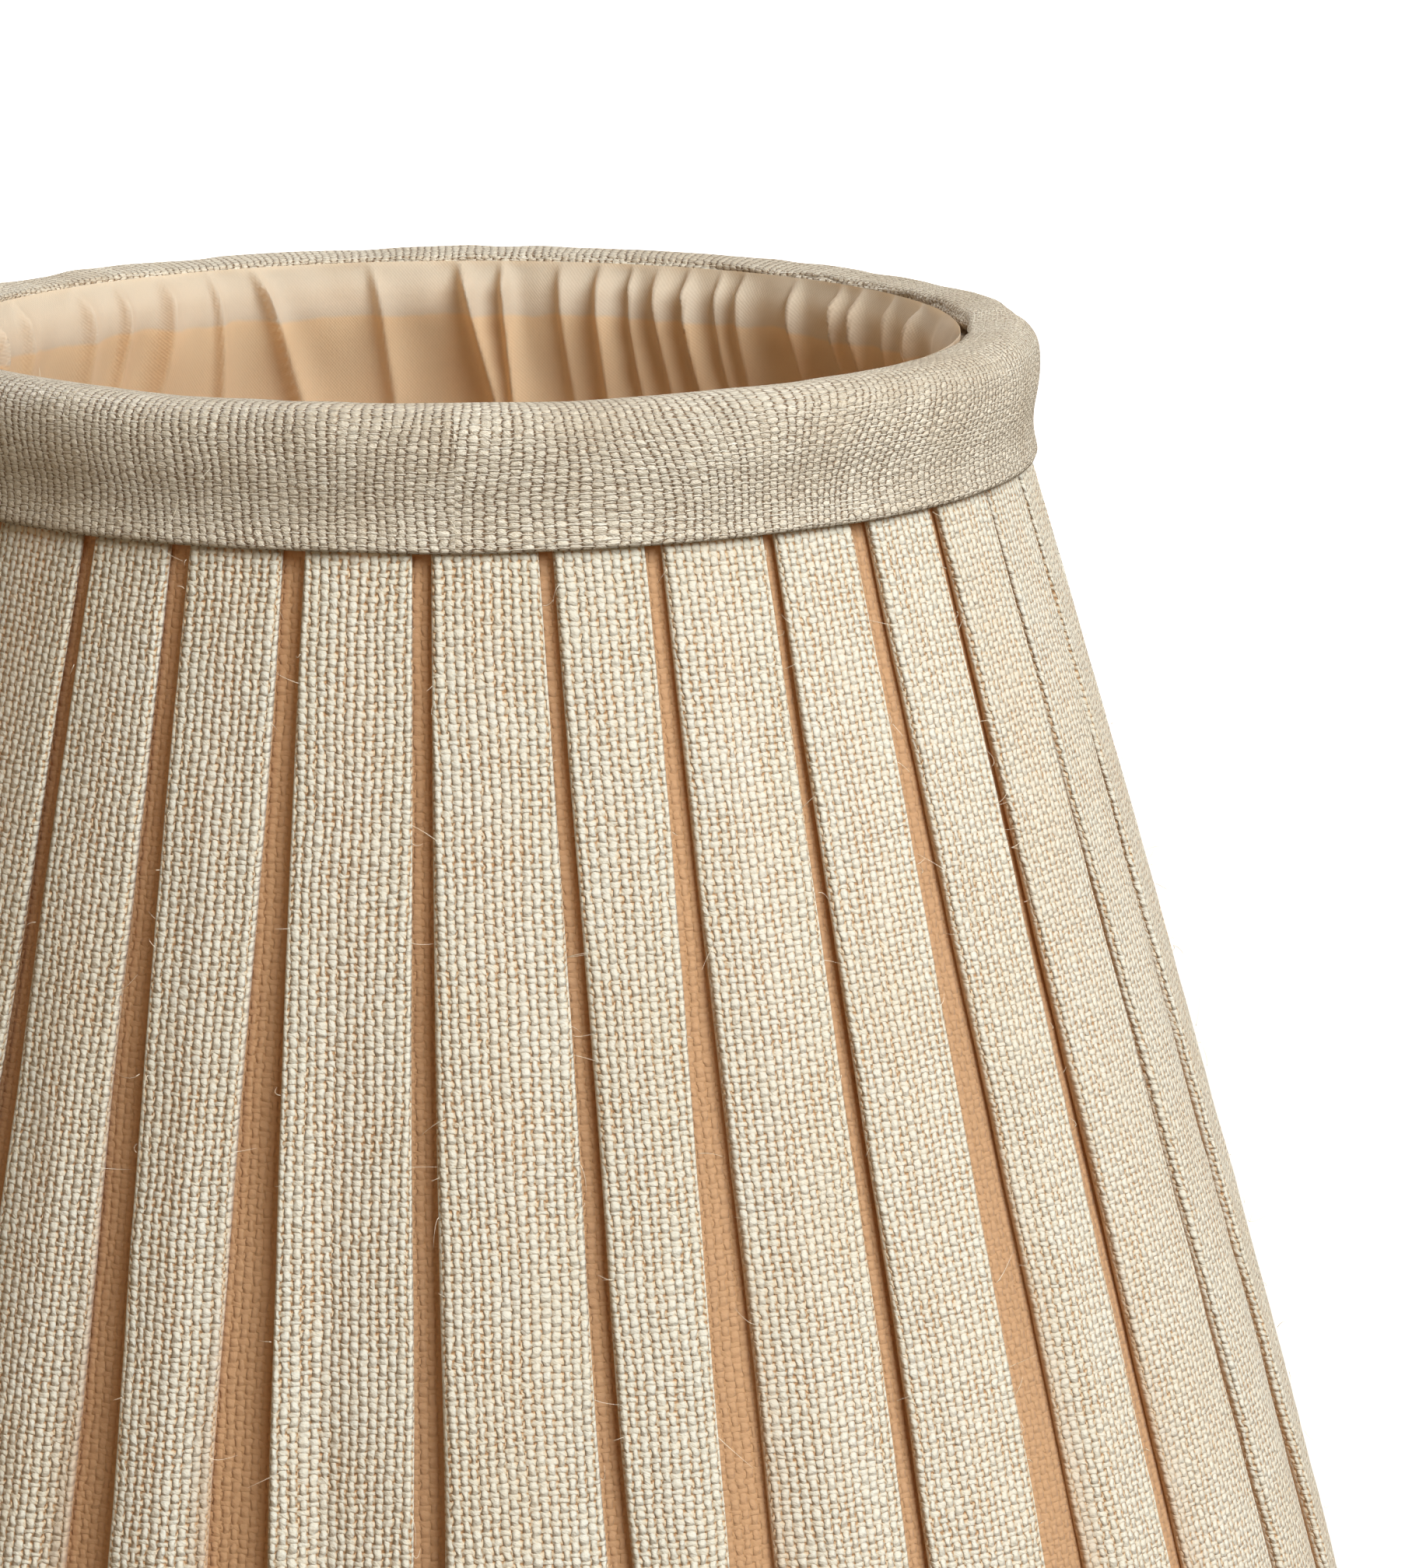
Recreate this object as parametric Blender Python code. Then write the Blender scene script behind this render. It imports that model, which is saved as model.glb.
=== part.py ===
"""Pleated linen lamp shade on a wire frame, with a tilting fitter ring.

Metres, +Z up. The origin is the centre of the circle that the bottom hem stands on.
A round wire ring at each end is joined by straight ribs and wound with cotton tape. The pleated cover
hangs outside the ribs and the lining inside them, and a folded binding closes each rim. Two arms
reach in from opposite ribs through the lining and end in eyes, and the fitter ring turns in those
eyes on two rivets. Its hole takes the skirt of an E27 lampholder.
"""

import math

import bmesh
import bpy
from mathutils import Matrix, Vector

# Overall sizes
SHADE_HEIGHT = 0.180
TOP_RING_RADIUS = 0.0546  # centreline of the wire
BOTTOM_RING_RADIUS = 0.1029
CLEARANCE = 0.0003  # between pieces that touch on the real shade

# Wire frame
RING_WIRE_RADIUS = 0.0013
RIB_WIRE_RADIUS = 0.0011
RIB_COUNT = 8

# Cotton tape wound on the rings, open along one side where the ribs come in
TAPE_THICKNESS = 0.0003
TAPE_WIRE_GAP = 0.00035
TAPE_SLIT_HALF_ANGLE = math.radians(56)

# Bindings
BINDING_THICKNESS = 0.0012
BINDING_EDGE_THICKNESS = 0.0005
BINDING_HEIGHT = 0.0134
RIM_DROP = 0.005  # from the rim's flat crest to the wire's centreline
RIM_INNER_REACH = 0.0034
RIM_OUTER_REACH = 0.0066

# Pleated cover
PLEAT_COUNT = 32
CLOTH_THICKNESS = 0.0005
PLEAT_RELIEF = 0.0012  # how far a pleat stands out of the fold beside it
PLEAT_BULGE = 0.0007  # extra relief halfway down, where nothing holds the pleats
PLEAT_GAP_TOP = 0.12  # share of the pitch that the gap beside a pleat takes
PLEAT_GAP_BOTTOM = 0.36
PLEAT_SIDE = 0.04  # share of the pitch that a pleat's side takes
COVER_OVERLAP = 0.002  # how far the cloth runs past the wire's centreline

# Lining
LINING_THICKNESS = 0.0005

# Fitter
PIVOT_DROP = 0.032  # from the top rim to the fitter's pivot axis
FITTER_HOLE_RADIUS = 0.021
FITTER_FLANGE_WIDTH = 0.0075
FITTER_PLATE = 0.0014
FITTER_RIM_HEIGHT = 0.0025
FITTER_RIM_THICKNESS = 0.0012
FITTER_HANG = 0.009  # from the pivot axis down to the ring's underside
EAR_HALF_WIDTH = 0.004
ARM_WIRE_RADIUS = 0.0012
RIVET_RADIUS = 0.0017
RIVET_HEAD_RADIUS = 0.0029
RIVET_HEAD_THICKNESS = 0.0012
EYE_CLEARANCE = 0.0001  # running clearance of a rivet in its eye

# Neateners: strips of lining cloth that cover the slits where the arms come through
NEATENER_RISE = 0.016
NEATENER_FALL = 0.006

# Facets
AROUND = 60
WIRE_SIDES = 8

# Sizes that follow from those above
TOP_WIRE_Z = SHADE_HEIGHT - RIM_DROP
BOTTOM_WIRE_Z = RIM_DROP
SIDE_SLOPE = (BOTTOM_RING_RADIUS - TOP_RING_RADIUS) / (TOP_WIRE_Z - BOTTOM_WIRE_Z)
TAPE_INNER = RING_WIRE_RADIUS + TAPE_WIRE_GAP
TAPE_OUTER = TAPE_INNER + TAPE_THICKNESS
COVER_OFFSET = TAPE_OUTER + CLEARANCE
VALLEY_OFFSET = COVER_OFFSET + CLOTH_THICKNESS
PANEL_OFFSET = VALLEY_OFFSET + PLEAT_RELIEF
LINING_OFFSET = -TAPE_OUTER - CLEARANCE
LINING_INNER_OFFSET = LINING_OFFSET - LINING_THICKNESS
PIVOT_Z = SHADE_HEIGHT - PIVOT_DROP
EYE_RADIUS = RIVET_RADIUS + EYE_CLEARANCE + ARM_WIRE_RADIUS
ARM_Z = PIVOT_Z + RIVET_HEAD_RADIUS + CLEARANCE + ARM_WIRE_RADIUS
FITTER_OUTER_RADIUS = FITTER_HOLE_RADIUS + FITTER_FLANGE_WIDTH
EAR_INNER_X = FITTER_OUTER_RADIUS - FITTER_RIM_THICKNESS
EYE_X = FITTER_OUTER_RADIUS + CLEARANCE + ARM_WIRE_RADIUS


def side_radius(z, offset=0.0):
    """Radius, at height z, of the cone through both wires' centrelines, moved out by offset."""
    return TOP_RING_RADIUS + SIDE_SLOPE * (TOP_WIRE_Z - z) + offset


def clear_scene():
    for old in list(bpy.data.objects):
        bpy.data.objects.remove(old, do_unlink=True)


def make_material(name, colour, roughness, metallic=0.0):
    material = bpy.data.materials.new(name)
    material.use_nodes = True
    shader = material.node_tree.nodes["Principled BSDF"]
    shader.inputs["Base Color"].default_value = (*colour, 1.0)
    shader.inputs["Roughness"].default_value = roughness
    shader.inputs["Metallic"].default_value = metallic
    return material


def add_object(name, bm, material, smooth_angle=40):
    """Turns a bmesh into an object with outward faces, shaded smooth up to smooth_angle degrees."""
    bmesh.ops.recalc_face_normals(bm, faces=bm.faces)
    mesh = bpy.data.meshes.new(name)
    bm.to_mesh(mesh)
    bm.free()
    mesh.shade_smooth()
    mesh.set_sharp_from_angle(angle=math.radians(smooth_angle))
    mesh.materials.append(material)
    piece = bpy.data.objects.new(name, mesh)
    bpy.context.scene.collection.objects.link(piece)
    return piece


def polar(radius, angle, z):
    return Vector((radius * math.cos(angle), radius * math.sin(angle), z))


def add_closed_grid(bm, rows):
    """Joins rows of points into a ring-shaped skin. Each row is a closed outline, and the last meets the first."""
    grid = [[bm.verts.new(point) for point in row] for row in rows]
    for row, following in zip(grid, grid[1:] + grid[:1]):
        for j, corner in enumerate(row):
            after = (j + 1) % len(row)
            bm.faces.new((corner, following[j], following[after], row[after]))


def turned(name, outline, material, around=AROUND):
    """A ring with the closed outline [(radius, z), ...] turned about Z."""
    bm = bmesh.new()
    turns = [2 * math.pi * i / around for i in range(around)]
    add_closed_grid(bm, [[polar(r, turn, z) for r, z in outline] for turn in turns])
    return add_object(name, bm, material)


def arc(centre, radius, start, end, steps):
    """Points of an arc in the (radius, z) plane, from start to end in radians."""
    turns = [start + (end - start) * i / steps for i in range(steps + 1)]
    return [(centre[0] + radius * math.cos(a), centre[1] + radius * math.sin(a)) for a in turns]


def add_rod(bm, start, end, radius, sides=WIRE_SIDES):
    """A straight round bar from start to end."""
    start, end = Vector(start), Vector(end)
    along = end - start
    turn = Vector((0, 0, 1)).rotation_difference(along).to_matrix().to_4x4()
    place = Matrix.Translation((start + end) / 2) @ turn
    bmesh.ops.create_cone(
        bm, cap_ends=True, segments=sides, radius1=radius, radius2=radius, depth=along.length, matrix=place
    )


def rod(name, start, end, radius, material):
    bm = bmesh.new()
    add_rod(bm, start, end, radius)
    return add_object(name, bm, material)


def box(name, low, high, material):
    bm = bmesh.new()
    size = Vector(high) - Vector(low)
    centre = (Vector(high) + Vector(low)) / 2
    bmesh.ops.create_cube(bm, size=1.0, matrix=Matrix.Translation(centre) @ Matrix.Diagonal((*size, 1.0)))
    return add_object(name, bm, material)


def combine(target, other, operation):
    """Applies a Boolean of target with other, and removes other."""
    modifier = target.modifiers.new("combine", "BOOLEAN")
    modifier.operation = operation
    modifier.object = other
    modifier.solver = "EXACT"
    graph = bpy.context.evaluated_depsgraph_get()
    mesh = bpy.data.meshes.new_from_object(target.evaluated_get(graph))
    target.modifiers.clear()
    target.data = mesh
    bpy.data.objects.remove(other, do_unlink=True)


def wire_ring(name, radius, z, material):
    return turned(name, arc((radius, z), RING_WIRE_RADIUS, 0, 2 * math.pi, WIRE_SIDES)[:-1], material)


def ring_tape(name, radius, z, rib_direction, material):
    """Tape round a ring, with its slit facing rib_direction, an angle in the (radius, z) plane."""
    start = rib_direction + TAPE_SLIT_HALF_ANGLE
    end = rib_direction + 2 * math.pi - TAPE_SLIT_HALF_ANGLE
    steps = 4
    outside = arc((radius, z), TAPE_OUTER, start, end, steps)
    inside = arc((radius, z), TAPE_INNER, end, start, steps)
    return turned(name, outside + inside, material)


def build_wire_frame(steel, cotton):
    wire_ring("top_ring", TOP_RING_RADIUS, TOP_WIRE_Z, steel)
    wire_ring("bottom_ring", BOTTOM_RING_RADIUS, BOTTOM_WIRE_Z, steel)
    down_the_side = math.atan2(-1.0, SIDE_SLOPE)
    ring_tape("top_ring_tape", TOP_RING_RADIUS, TOP_WIRE_Z, down_the_side, cotton)
    ring_tape("bottom_ring_tape", BOTTOM_RING_RADIUS, BOTTOM_WIRE_Z, down_the_side + math.pi, cotton)
    end_gap = RING_WIRE_RADIUS + CLEARANCE
    for i in range(RIB_COUNT):
        turn = 2 * math.pi * i / RIB_COUNT
        top = polar(TOP_RING_RADIUS, turn, TOP_WIRE_Z)
        bottom = polar(BOTTOM_RING_RADIUS, turn, BOTTOM_WIRE_Z)
        inset = (bottom - top).normalized() * end_gap
        rod(f"rib_{i + 1}", top + inset, bottom - inset, RIB_WIRE_RADIUS, steel)


def rim_outline(ring_radius, edge_radius):
    """Section of a binding as it lies over the top rim, in (radius, height above the wire) pairs.

    Its crest is flat between 60 and 120 degrees, and its outer flange ends at edge_radius.
    """
    centre = ring_radius + (RIM_OUTER_REACH - RIM_INNER_REACH) / 2
    half_width = (RIM_OUTER_REACH + RIM_INNER_REACH) / 2
    crest = math.radians(60)
    flange_drop = BINDING_HEIGHT - RIM_DROP

    def bend(inset):
        turns = [0, crest / 2, crest, math.pi - crest]
        width, rise = half_width - inset, (RIM_DROP - inset) / math.sin(crest)
        return [(centre + width * math.cos(a), rise * math.sin(a)) for a in turns]

    outside = [(edge_radius + BINDING_EDGE_THICKNESS, -flange_drop), *bend(0.0)]
    inside = [(edge_radius, -flange_drop), *bend(BINDING_THICKNESS)]
    return outside + inside[::-1]


def build_bindings(linen):
    top = rim_outline(TOP_RING_RADIUS, cover_radius("under_top_edge", 1.0) + CLEARANCE)
    turned("top_binding", [(r, TOP_WIRE_Z + rise) for r, rise in top], linen)
    bottom = rim_outline(BOTTOM_RING_RADIUS, cover_radius("under_bottom_edge", 1.0) + CLEARANCE)
    turned("bottom_binding", [(r, BOTTOM_WIRE_Z - rise) for r, rise in bottom], linen)


def cover_heights():
    """Heights of the cover's rows by name, from its top edge to its bottom edge."""
    return {
        "top": TOP_WIRE_Z + COVER_OVERLAP,
        "under_top_edge": SHADE_HEIGHT - BINDING_HEIGHT,
        "middle": SHADE_HEIGHT / 2,
        "under_bottom_edge": BINDING_HEIGHT,
        "bottom": BOTTOM_WIRE_Z - COVER_OVERLAP,
    }


def cover_radius(row, relief):
    """Outer radius of the cover on a row, where relief is 0 in a gap and 1 on a pleat."""
    z = cover_heights()[row]
    if row == "top":  # bunched up under the binding
        binding_inside = TOP_RING_RADIUS + RIM_OUTER_REACH - BINDING_THICKNESS
        return binding_inside - RIM_DROP * 0.2
    if row == "under_top_edge":  # pressed flatter by the binding
        return side_radius(z, VALLEY_OFFSET + relief * PLEAT_RELIEF / 2)
    bulge = PLEAT_BULGE if row == "middle" else 0.0
    return side_radius(z, VALLEY_OFFSET + relief * (PLEAT_RELIEF + bulge))


def pleat_columns(gap):
    """Places across one pitch, as shares of it, and the relief at each: gap, side, pleat, side, gap."""
    side = PLEAT_SIDE
    return [
        (0.0, 0.0),
        (gap / 2, 0.0),
        (gap / 2 + side, 1.0),
        (0.5, 1.0),
        (1 - gap / 2 - side, 1.0),
        (1 - gap / 2, 0.0),
    ]


def build_cover(linen):
    """The pleated cover: one closed band, with its pleats wider apart towards the bottom."""
    heights = cover_heights()
    span = heights["top"] - heights["bottom"]
    pitch = 2 * math.pi / PLEAT_COUNT
    columns = []
    for pleat in range(PLEAT_COUNT):
        for k in range(len(pleat_columns(PLEAT_GAP_TOP))):
            outside, inside = [], []
            for row, z in heights.items():
                depth = (heights["top"] - z) / span
                gap = PLEAT_GAP_TOP + (PLEAT_GAP_BOTTOM - PLEAT_GAP_TOP) * depth
                share, relief = pleat_columns(gap)[k]
                turn = (pleat + share) * pitch
                outside.append(polar(cover_radius(row, relief), turn, z))
                inside.append(polar(side_radius(z, COVER_OFFSET), turn, z))
            columns.append(outside + inside[::-1])
    bm = bmesh.new()
    add_closed_grid(bm, columns)
    add_object("pleated_cover", bm, linen)


def arm_cutter(name):
    """A bar across the whole shade along X, as thick as an arm with room round it."""
    bm = bmesh.new()
    add_rod(bm, (-0.2, 0, ARM_Z), (0.2, 0, ARM_Z), ARM_WIRE_RADIUS + CLEARANCE)
    return add_object(name, bm, None)


def build_lining(voile):
    """The lining, taut inside the ribs and turned over the top wire."""
    wrap = math.radians(70)
    ring = (TOP_RING_RADIUS, TOP_WIRE_Z)
    outer_turn = arc(ring, -LINING_OFFSET, math.pi, math.pi - wrap, 2)
    inner_turn = arc(ring, -LINING_INNER_OFFSET, math.pi, math.pi - wrap, 2)
    low = BOTTOM_WIRE_Z
    outside = [(side_radius(low, LINING_OFFSET), low), *outer_turn]
    inside = [(side_radius(low, LINING_INNER_OFFSET), low), *inner_turn]
    lining = turned("lining", outside + inside[::-1], voile)
    combine(lining, arm_cutter("lining_slits"), "DIFFERENCE")


def build_neatener(name, facing, voile):
    """A strip on the lining's inner face over one arm's slit, on the side that facing, in radians, looks to."""
    step = 2 * math.pi / AROUND
    low, high = ARM_Z - NEATENER_FALL, ARM_Z + NEATENER_RISE
    face = LINING_INNER_OFFSET - CLEARANCE
    bm = bmesh.new()
    rows = []
    for turn in (facing - step, facing, facing + step):
        corners = [(face, low), (face, high), (face - LINING_THICKNESS, high), (face - LINING_THICKNESS, low)]
        rows.append([bm.verts.new(polar(side_radius(z, offset), turn, z)) for offset, z in corners])
    for row, following in zip(rows, rows[1:]):
        for j in range(4):
            after = (j + 1) % 4
            bm.faces.new((row[j], following[j], following[after], row[after]))
    bm.faces.new(rows[0])
    bm.faces.new(rows[-1][::-1])
    strip = add_object(name, bm, voile)
    combine(strip, arm_cutter(f"{name}_slit"), "DIFFERENCE")


def build_arm(name, side, steel):
    """A wire from a rib to its eye round the pivot axis. side is 1 on +X and -1 on -X."""
    bm = bmesh.new()
    loop = []
    for i in range(20):
        turn = 2 * math.pi * i / 20
        ring = arc((EYE_RADIUS, side * EYE_X), ARM_WIRE_RADIUS, 0, 2 * math.pi, WIRE_SIDES)[:-1]
        loop.append([Vector((x, r * math.cos(turn), PIVOT_Z + r * math.sin(turn))) for r, x in ring])
    add_closed_grid(bm, loop)
    arm = add_object(name, bm, steel)
    rib_face = side_radius(ARM_Z, -RIB_WIRE_RADIUS / math.cos(math.atan(SIDE_SLOPE)) - CLEARANCE)
    lean = SIDE_SLOPE * ARM_WIRE_RADIUS
    straight = rod(
        f"{name}_wire", (side * EYE_X, 0, ARM_Z), (side * (rib_face - lean), 0, ARM_Z), ARM_WIRE_RADIUS, steel
    )
    combine(arm, straight, "UNION")


def build_fitter_ring(steel):
    """A pressed ring with an upturned rim and two ears that carry the rivets."""
    low = PIVOT_Z - FITTER_HANG
    outline = [
        (FITTER_HOLE_RADIUS, low),
        (FITTER_OUTER_RADIUS, low),
        (FITTER_OUTER_RADIUS, low + FITTER_RIM_HEIGHT),
        (EAR_INNER_X, low + FITTER_RIM_HEIGHT),
        (EAR_INNER_X, low + FITTER_PLATE),
        (FITTER_HOLE_RADIUS, low + FITTER_PLATE),
    ]
    ring = turned("fitter_ring", outline, steel, around=48)
    inset = 0.0001  # keeps an ear's face off the faceted rim's own face
    for side in (-1, 1):
        ends = sorted((side * (EAR_INNER_X + inset), side * (FITTER_OUTER_RADIUS - inset)))
        foot = low + FITTER_PLATE / 2
        combine(
            ring, box("ear", (ends[0], -EAR_HALF_WIDTH, foot), (ends[1], EAR_HALF_WIDTH, PIVOT_Z), steel), "UNION"
        )
        combine(
            ring, rod("ear_top", (ends[0], 0, PIVOT_Z), (ends[1], 0, PIVOT_Z), EAR_HALF_WIDTH, steel), "UNION"
        )
    bm = bmesh.new()
    add_rod(bm, (-0.05, 0, PIVOT_Z), (0.05, 0, PIVOT_Z), RIVET_RADIUS + CLEARANCE, 16)
    combine(ring, add_object("rivet_holes", bm, steel), "DIFFERENCE")


def build_rivet(name, side, steel):
    """A headed pin through one ear and one eye, with its axis along X."""
    inner_face = EAR_INNER_X - CLEARANCE
    outer_face = EYE_X + ARM_WIRE_RADIUS + CLEARANCE
    outline = [
        (0.0, inner_face - RIVET_HEAD_THICKNESS),
        (RIVET_HEAD_RADIUS, inner_face - RIVET_HEAD_THICKNESS / 2),
        (RIVET_HEAD_RADIUS, inner_face),
        (RIVET_RADIUS, inner_face),
        (RIVET_RADIUS, outer_face),
        (RIVET_HEAD_RADIUS, outer_face),
        (RIVET_HEAD_RADIUS, outer_face + RIVET_HEAD_THICKNESS / 2),
        (0.0, outer_face + RIVET_HEAD_THICKNESS),
    ]
    bm = bmesh.new()
    points = [bm.verts.new((side * x, r, PIVOT_Z)) for r, x in outline]
    edges = [bm.edges.new(pair) for pair in zip(points, points[1:])]
    bmesh.ops.spin(
        bm, geom=points + edges, cent=(0, 0, PIVOT_Z), axis=(1, 0, 0), angle=2 * math.pi, steps=16
    )
    bmesh.ops.remove_doubles(bm, verts=bm.verts, dist=1e-6)
    return add_object(name, bm, steel)


def build_fitter(steel):
    build_arm("fitter_arm_right", 1, steel)
    build_arm("fitter_arm_left", -1, steel)
    build_fitter_ring(steel)
    build_rivet("pivot_rivet_right", 1, steel)
    build_rivet("pivot_rivet_left", -1, steel)


def main():
    clear_scene()
    steel = make_material("white_coated_steel", (0.86, 0.85, 0.82), 0.35, 0.2)
    plated = make_material("zinc_plated_steel", (0.72, 0.71, 0.69), 0.3, 1.0)
    cotton = make_material("cotton_tape", (0.85, 0.80, 0.70), 0.9)
    linen = make_material("slub_linen", (0.79, 0.69, 0.54), 0.9)
    binding = make_material("binding_linen", (0.72, 0.63, 0.49), 0.6)
    voile = make_material("lining_voile", (0.86, 0.74, 0.57), 0.7)
    build_wire_frame(steel, cotton)
    build_cover(linen)
    build_bindings(binding)
    build_lining(voile)
    build_neatener("arm_neatener_right", 0.0, voile)
    build_neatener("arm_neatener_left", math.pi, voile)
    build_fitter(plated)


main()
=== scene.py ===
import math
import bpy
import numpy as np
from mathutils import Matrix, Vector


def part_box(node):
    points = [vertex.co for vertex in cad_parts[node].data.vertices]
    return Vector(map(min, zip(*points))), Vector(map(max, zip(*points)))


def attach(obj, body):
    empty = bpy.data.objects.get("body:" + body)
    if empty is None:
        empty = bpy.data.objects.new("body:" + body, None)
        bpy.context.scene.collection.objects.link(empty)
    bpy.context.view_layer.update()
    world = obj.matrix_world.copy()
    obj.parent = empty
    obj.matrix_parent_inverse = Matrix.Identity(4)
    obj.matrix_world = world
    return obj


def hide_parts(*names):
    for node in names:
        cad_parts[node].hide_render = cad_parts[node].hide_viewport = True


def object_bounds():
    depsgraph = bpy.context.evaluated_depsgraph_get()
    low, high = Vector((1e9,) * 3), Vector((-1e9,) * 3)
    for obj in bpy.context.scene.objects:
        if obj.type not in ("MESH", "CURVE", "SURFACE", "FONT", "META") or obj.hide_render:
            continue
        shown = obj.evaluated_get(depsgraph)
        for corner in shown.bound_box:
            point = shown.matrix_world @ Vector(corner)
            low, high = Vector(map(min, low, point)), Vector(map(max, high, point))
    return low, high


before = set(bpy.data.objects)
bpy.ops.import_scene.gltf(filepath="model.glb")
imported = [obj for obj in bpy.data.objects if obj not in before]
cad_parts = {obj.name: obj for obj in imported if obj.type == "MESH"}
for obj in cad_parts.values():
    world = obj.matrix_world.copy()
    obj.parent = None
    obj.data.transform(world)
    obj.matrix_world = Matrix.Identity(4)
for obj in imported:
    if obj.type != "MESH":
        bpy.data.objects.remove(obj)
cadBox = [list(corner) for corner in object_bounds()]
rimTop = cadBox[1][2]                      # the rim's crest, metres above the table
print("frame loaded, rim at", round(rimTop, 4))


def smooth(x, low, high):
    # 0 below low, 1 above high, a soft S between
    t = np.clip((x - low) / (high - low), 0, 1)
    return t * t * (3 - 2 * t)


def softNoise(seed, x, y, scaleX, scaleY, period=None):
    # value noise: random heights on a lattice, joined by soft S curves; it repeats in x after period cells
    lattice = np.random.default_rng(seed).uniform(-1, 1, (257, 257))
    gx, gy = x / scaleX, y / scaleY + 61.3
    ix, iy = np.floor(gx).astype(int), np.floor(gy).astype(int)
    tx, ty = gx - ix, gy - iy
    tx, ty = tx * tx * (3 - 2 * tx), ty * ty * (3 - 2 * ty)
    wrap = period or 257
    at = lambda a, b: lattice[np.mod(a, wrap), np.mod(b, 257)]
    low = at(ix, iy) * (1 - tx) + at(ix + 1, iy) * tx
    high = at(ix, iy + 1) * (1 - tx) + at(ix + 1, iy + 1) * tx
    return low * (1 - ty) + high * ty


def around(radius, angle, height):
    # angle 0 is the front, -Y, and grows towards +X
    return np.stack([radius * np.sin(angle), -radius * np.cos(angle), height + 0 * angle], -1)


def gridPiece(name, points, uv, material, closed=False, flip=False, loop=False, deep=None):
    # points[row, column], with quads between neighbours; closed joins the last column to the first, and loop
    # the last row to the first; flip turns the faces over
    rows, cols = points.shape[:2]
    index = np.arange(rows * cols).reshape(rows, cols)
    if closed:
        index = np.concatenate([index, index[:, :1]], 1)
    if loop:
        index = np.concatenate([index, index[:1]], 0)
    a, b, c, d = index[:-1, :-1], index[:-1, 1:], index[1:, 1:], index[1:, :-1]
    quads = np.stack([a, d, c, b] if flip else [a, b, c, d], -1).reshape(-1, 4)
    mesh = bpy.data.meshes.new(name)
    mesh.vertices.add(rows * cols)
    mesh.vertices.foreach_set("co", points.reshape(-1).astype(np.float32))
    mesh.loops.add(quads.size)
    mesh.loops.foreach_set("vertex_index", quads.reshape(-1).astype(np.int32))
    mesh.polygons.add(len(quads))
    mesh.polygons.foreach_set("loop_start", np.arange(0, quads.size, 4, dtype=np.int32))
    mesh.update(calc_edges=True)
    # where the grid closes, uv has one more column or row than points, so that threads run on across the join
    layer = mesh.uv_layers.new(name="weave")
    uvIndex = np.arange(uv.shape[0] * uv.shape[1]).reshape(uv.shape[:2])
    a, b, c, d = uvIndex[:-1, :-1], uvIndex[:-1, 1:], uvIndex[1:, 1:], uvIndex[1:, :-1]
    corners = np.stack([a, d, c, b] if flip else [a, b, c, d], -1).reshape(-1)
    layer.data.foreach_set("uv", uv.reshape(-1, 2)[corners].reshape(-1).astype(np.float32))
    if deep is not None:                                # how far into a fold each point lies, 0 to 1
        layer = mesh.attributes.new("deep", "FLOAT", "POINT")
        layer.data.foreach_set("value", deep.reshape(-1).astype(np.float32))
    mesh.shade_smooth()
    mesh.materials.append(material)
    mesh.validate()
    piece = bpy.data.objects.new(name, mesh)
    bpy.context.scene.collection.objects.link(piece)
    return piece


class Nodes:
    # a short way to write node trees: each call adds a node and returns its socket
    def __init__(self, material):
        self.tree = material.node_tree
        self.x = -2400

    def node(self, kind, **settings):
        made = self.tree.nodes.new(kind)
        made.location = (self.x, 0)
        self.x += 40
        for key, value in settings.items():
            setattr(made, key, value)
        return made

    def wire(self, value, socket):
        if isinstance(value, bpy.types.NodeSocket):
            self.tree.links.new(value, socket)
        elif value is not None:
            socket.default_value = value

    def math(self, operation, a, b=None, c=None, clamp=False):
        made = self.node("ShaderNodeMath", operation=operation, use_clamp=clamp)
        for value, socket in zip((a, b, c), made.inputs):
            self.wire(value, socket)
        return made.outputs[0]

    def remap(self, value, low, high, toLow=0.0, toHigh=1.0):
        made = self.node("ShaderNodeMapRange", interpolation_type="SMOOTHSTEP")
        for v, socket in zip((value, low, high, toLow, toHigh), made.inputs):
            self.wire(v, socket)
        return made.outputs[0]

    def mix(self, factor, a, b, blend="MIX"):
        made = self.node("ShaderNodeMix", data_type="RGBA", blend_type=blend)
        self.wire(factor, made.inputs[0])
        for value, socket in ((a, made.inputs[6]), (b, made.inputs[7])):
            self.wire((*value, 1.0) if isinstance(value, tuple) else value, socket)
        return made.outputs[2]

    def vector(self, x, y, z=0.0):
        made = self.node("ShaderNodeCombineXYZ")
        for value, socket in zip((x, y, z), made.inputs):
            self.wire(value, socket)
        return made.outputs[0]

    def noise(self, vector, scale=1.0, detail=2.0, roughness=0.5):
        made = self.node("ShaderNodeTexNoise", noise_dimensions="3D")
        self.wire(vector, made.inputs["Vector"])
        made.inputs["Scale"].default_value = scale
        made.inputs["Detail"].default_value = detail
        made.inputs["Roughness"].default_value = roughness
        return made.outputs[0]

    def random(self, vector):
        made = self.node("ShaderNodeTexWhiteNoise", noise_dimensions="3D")
        self.wire(vector, made.inputs["Vector"])
        return made.outputs[0]


def newMaterial(name):
    material = bpy.data.materials.new(name)
    material.use_nodes = True
    return material, Nodes(material), material.node_tree.nodes["Principled BSDF"]


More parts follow.
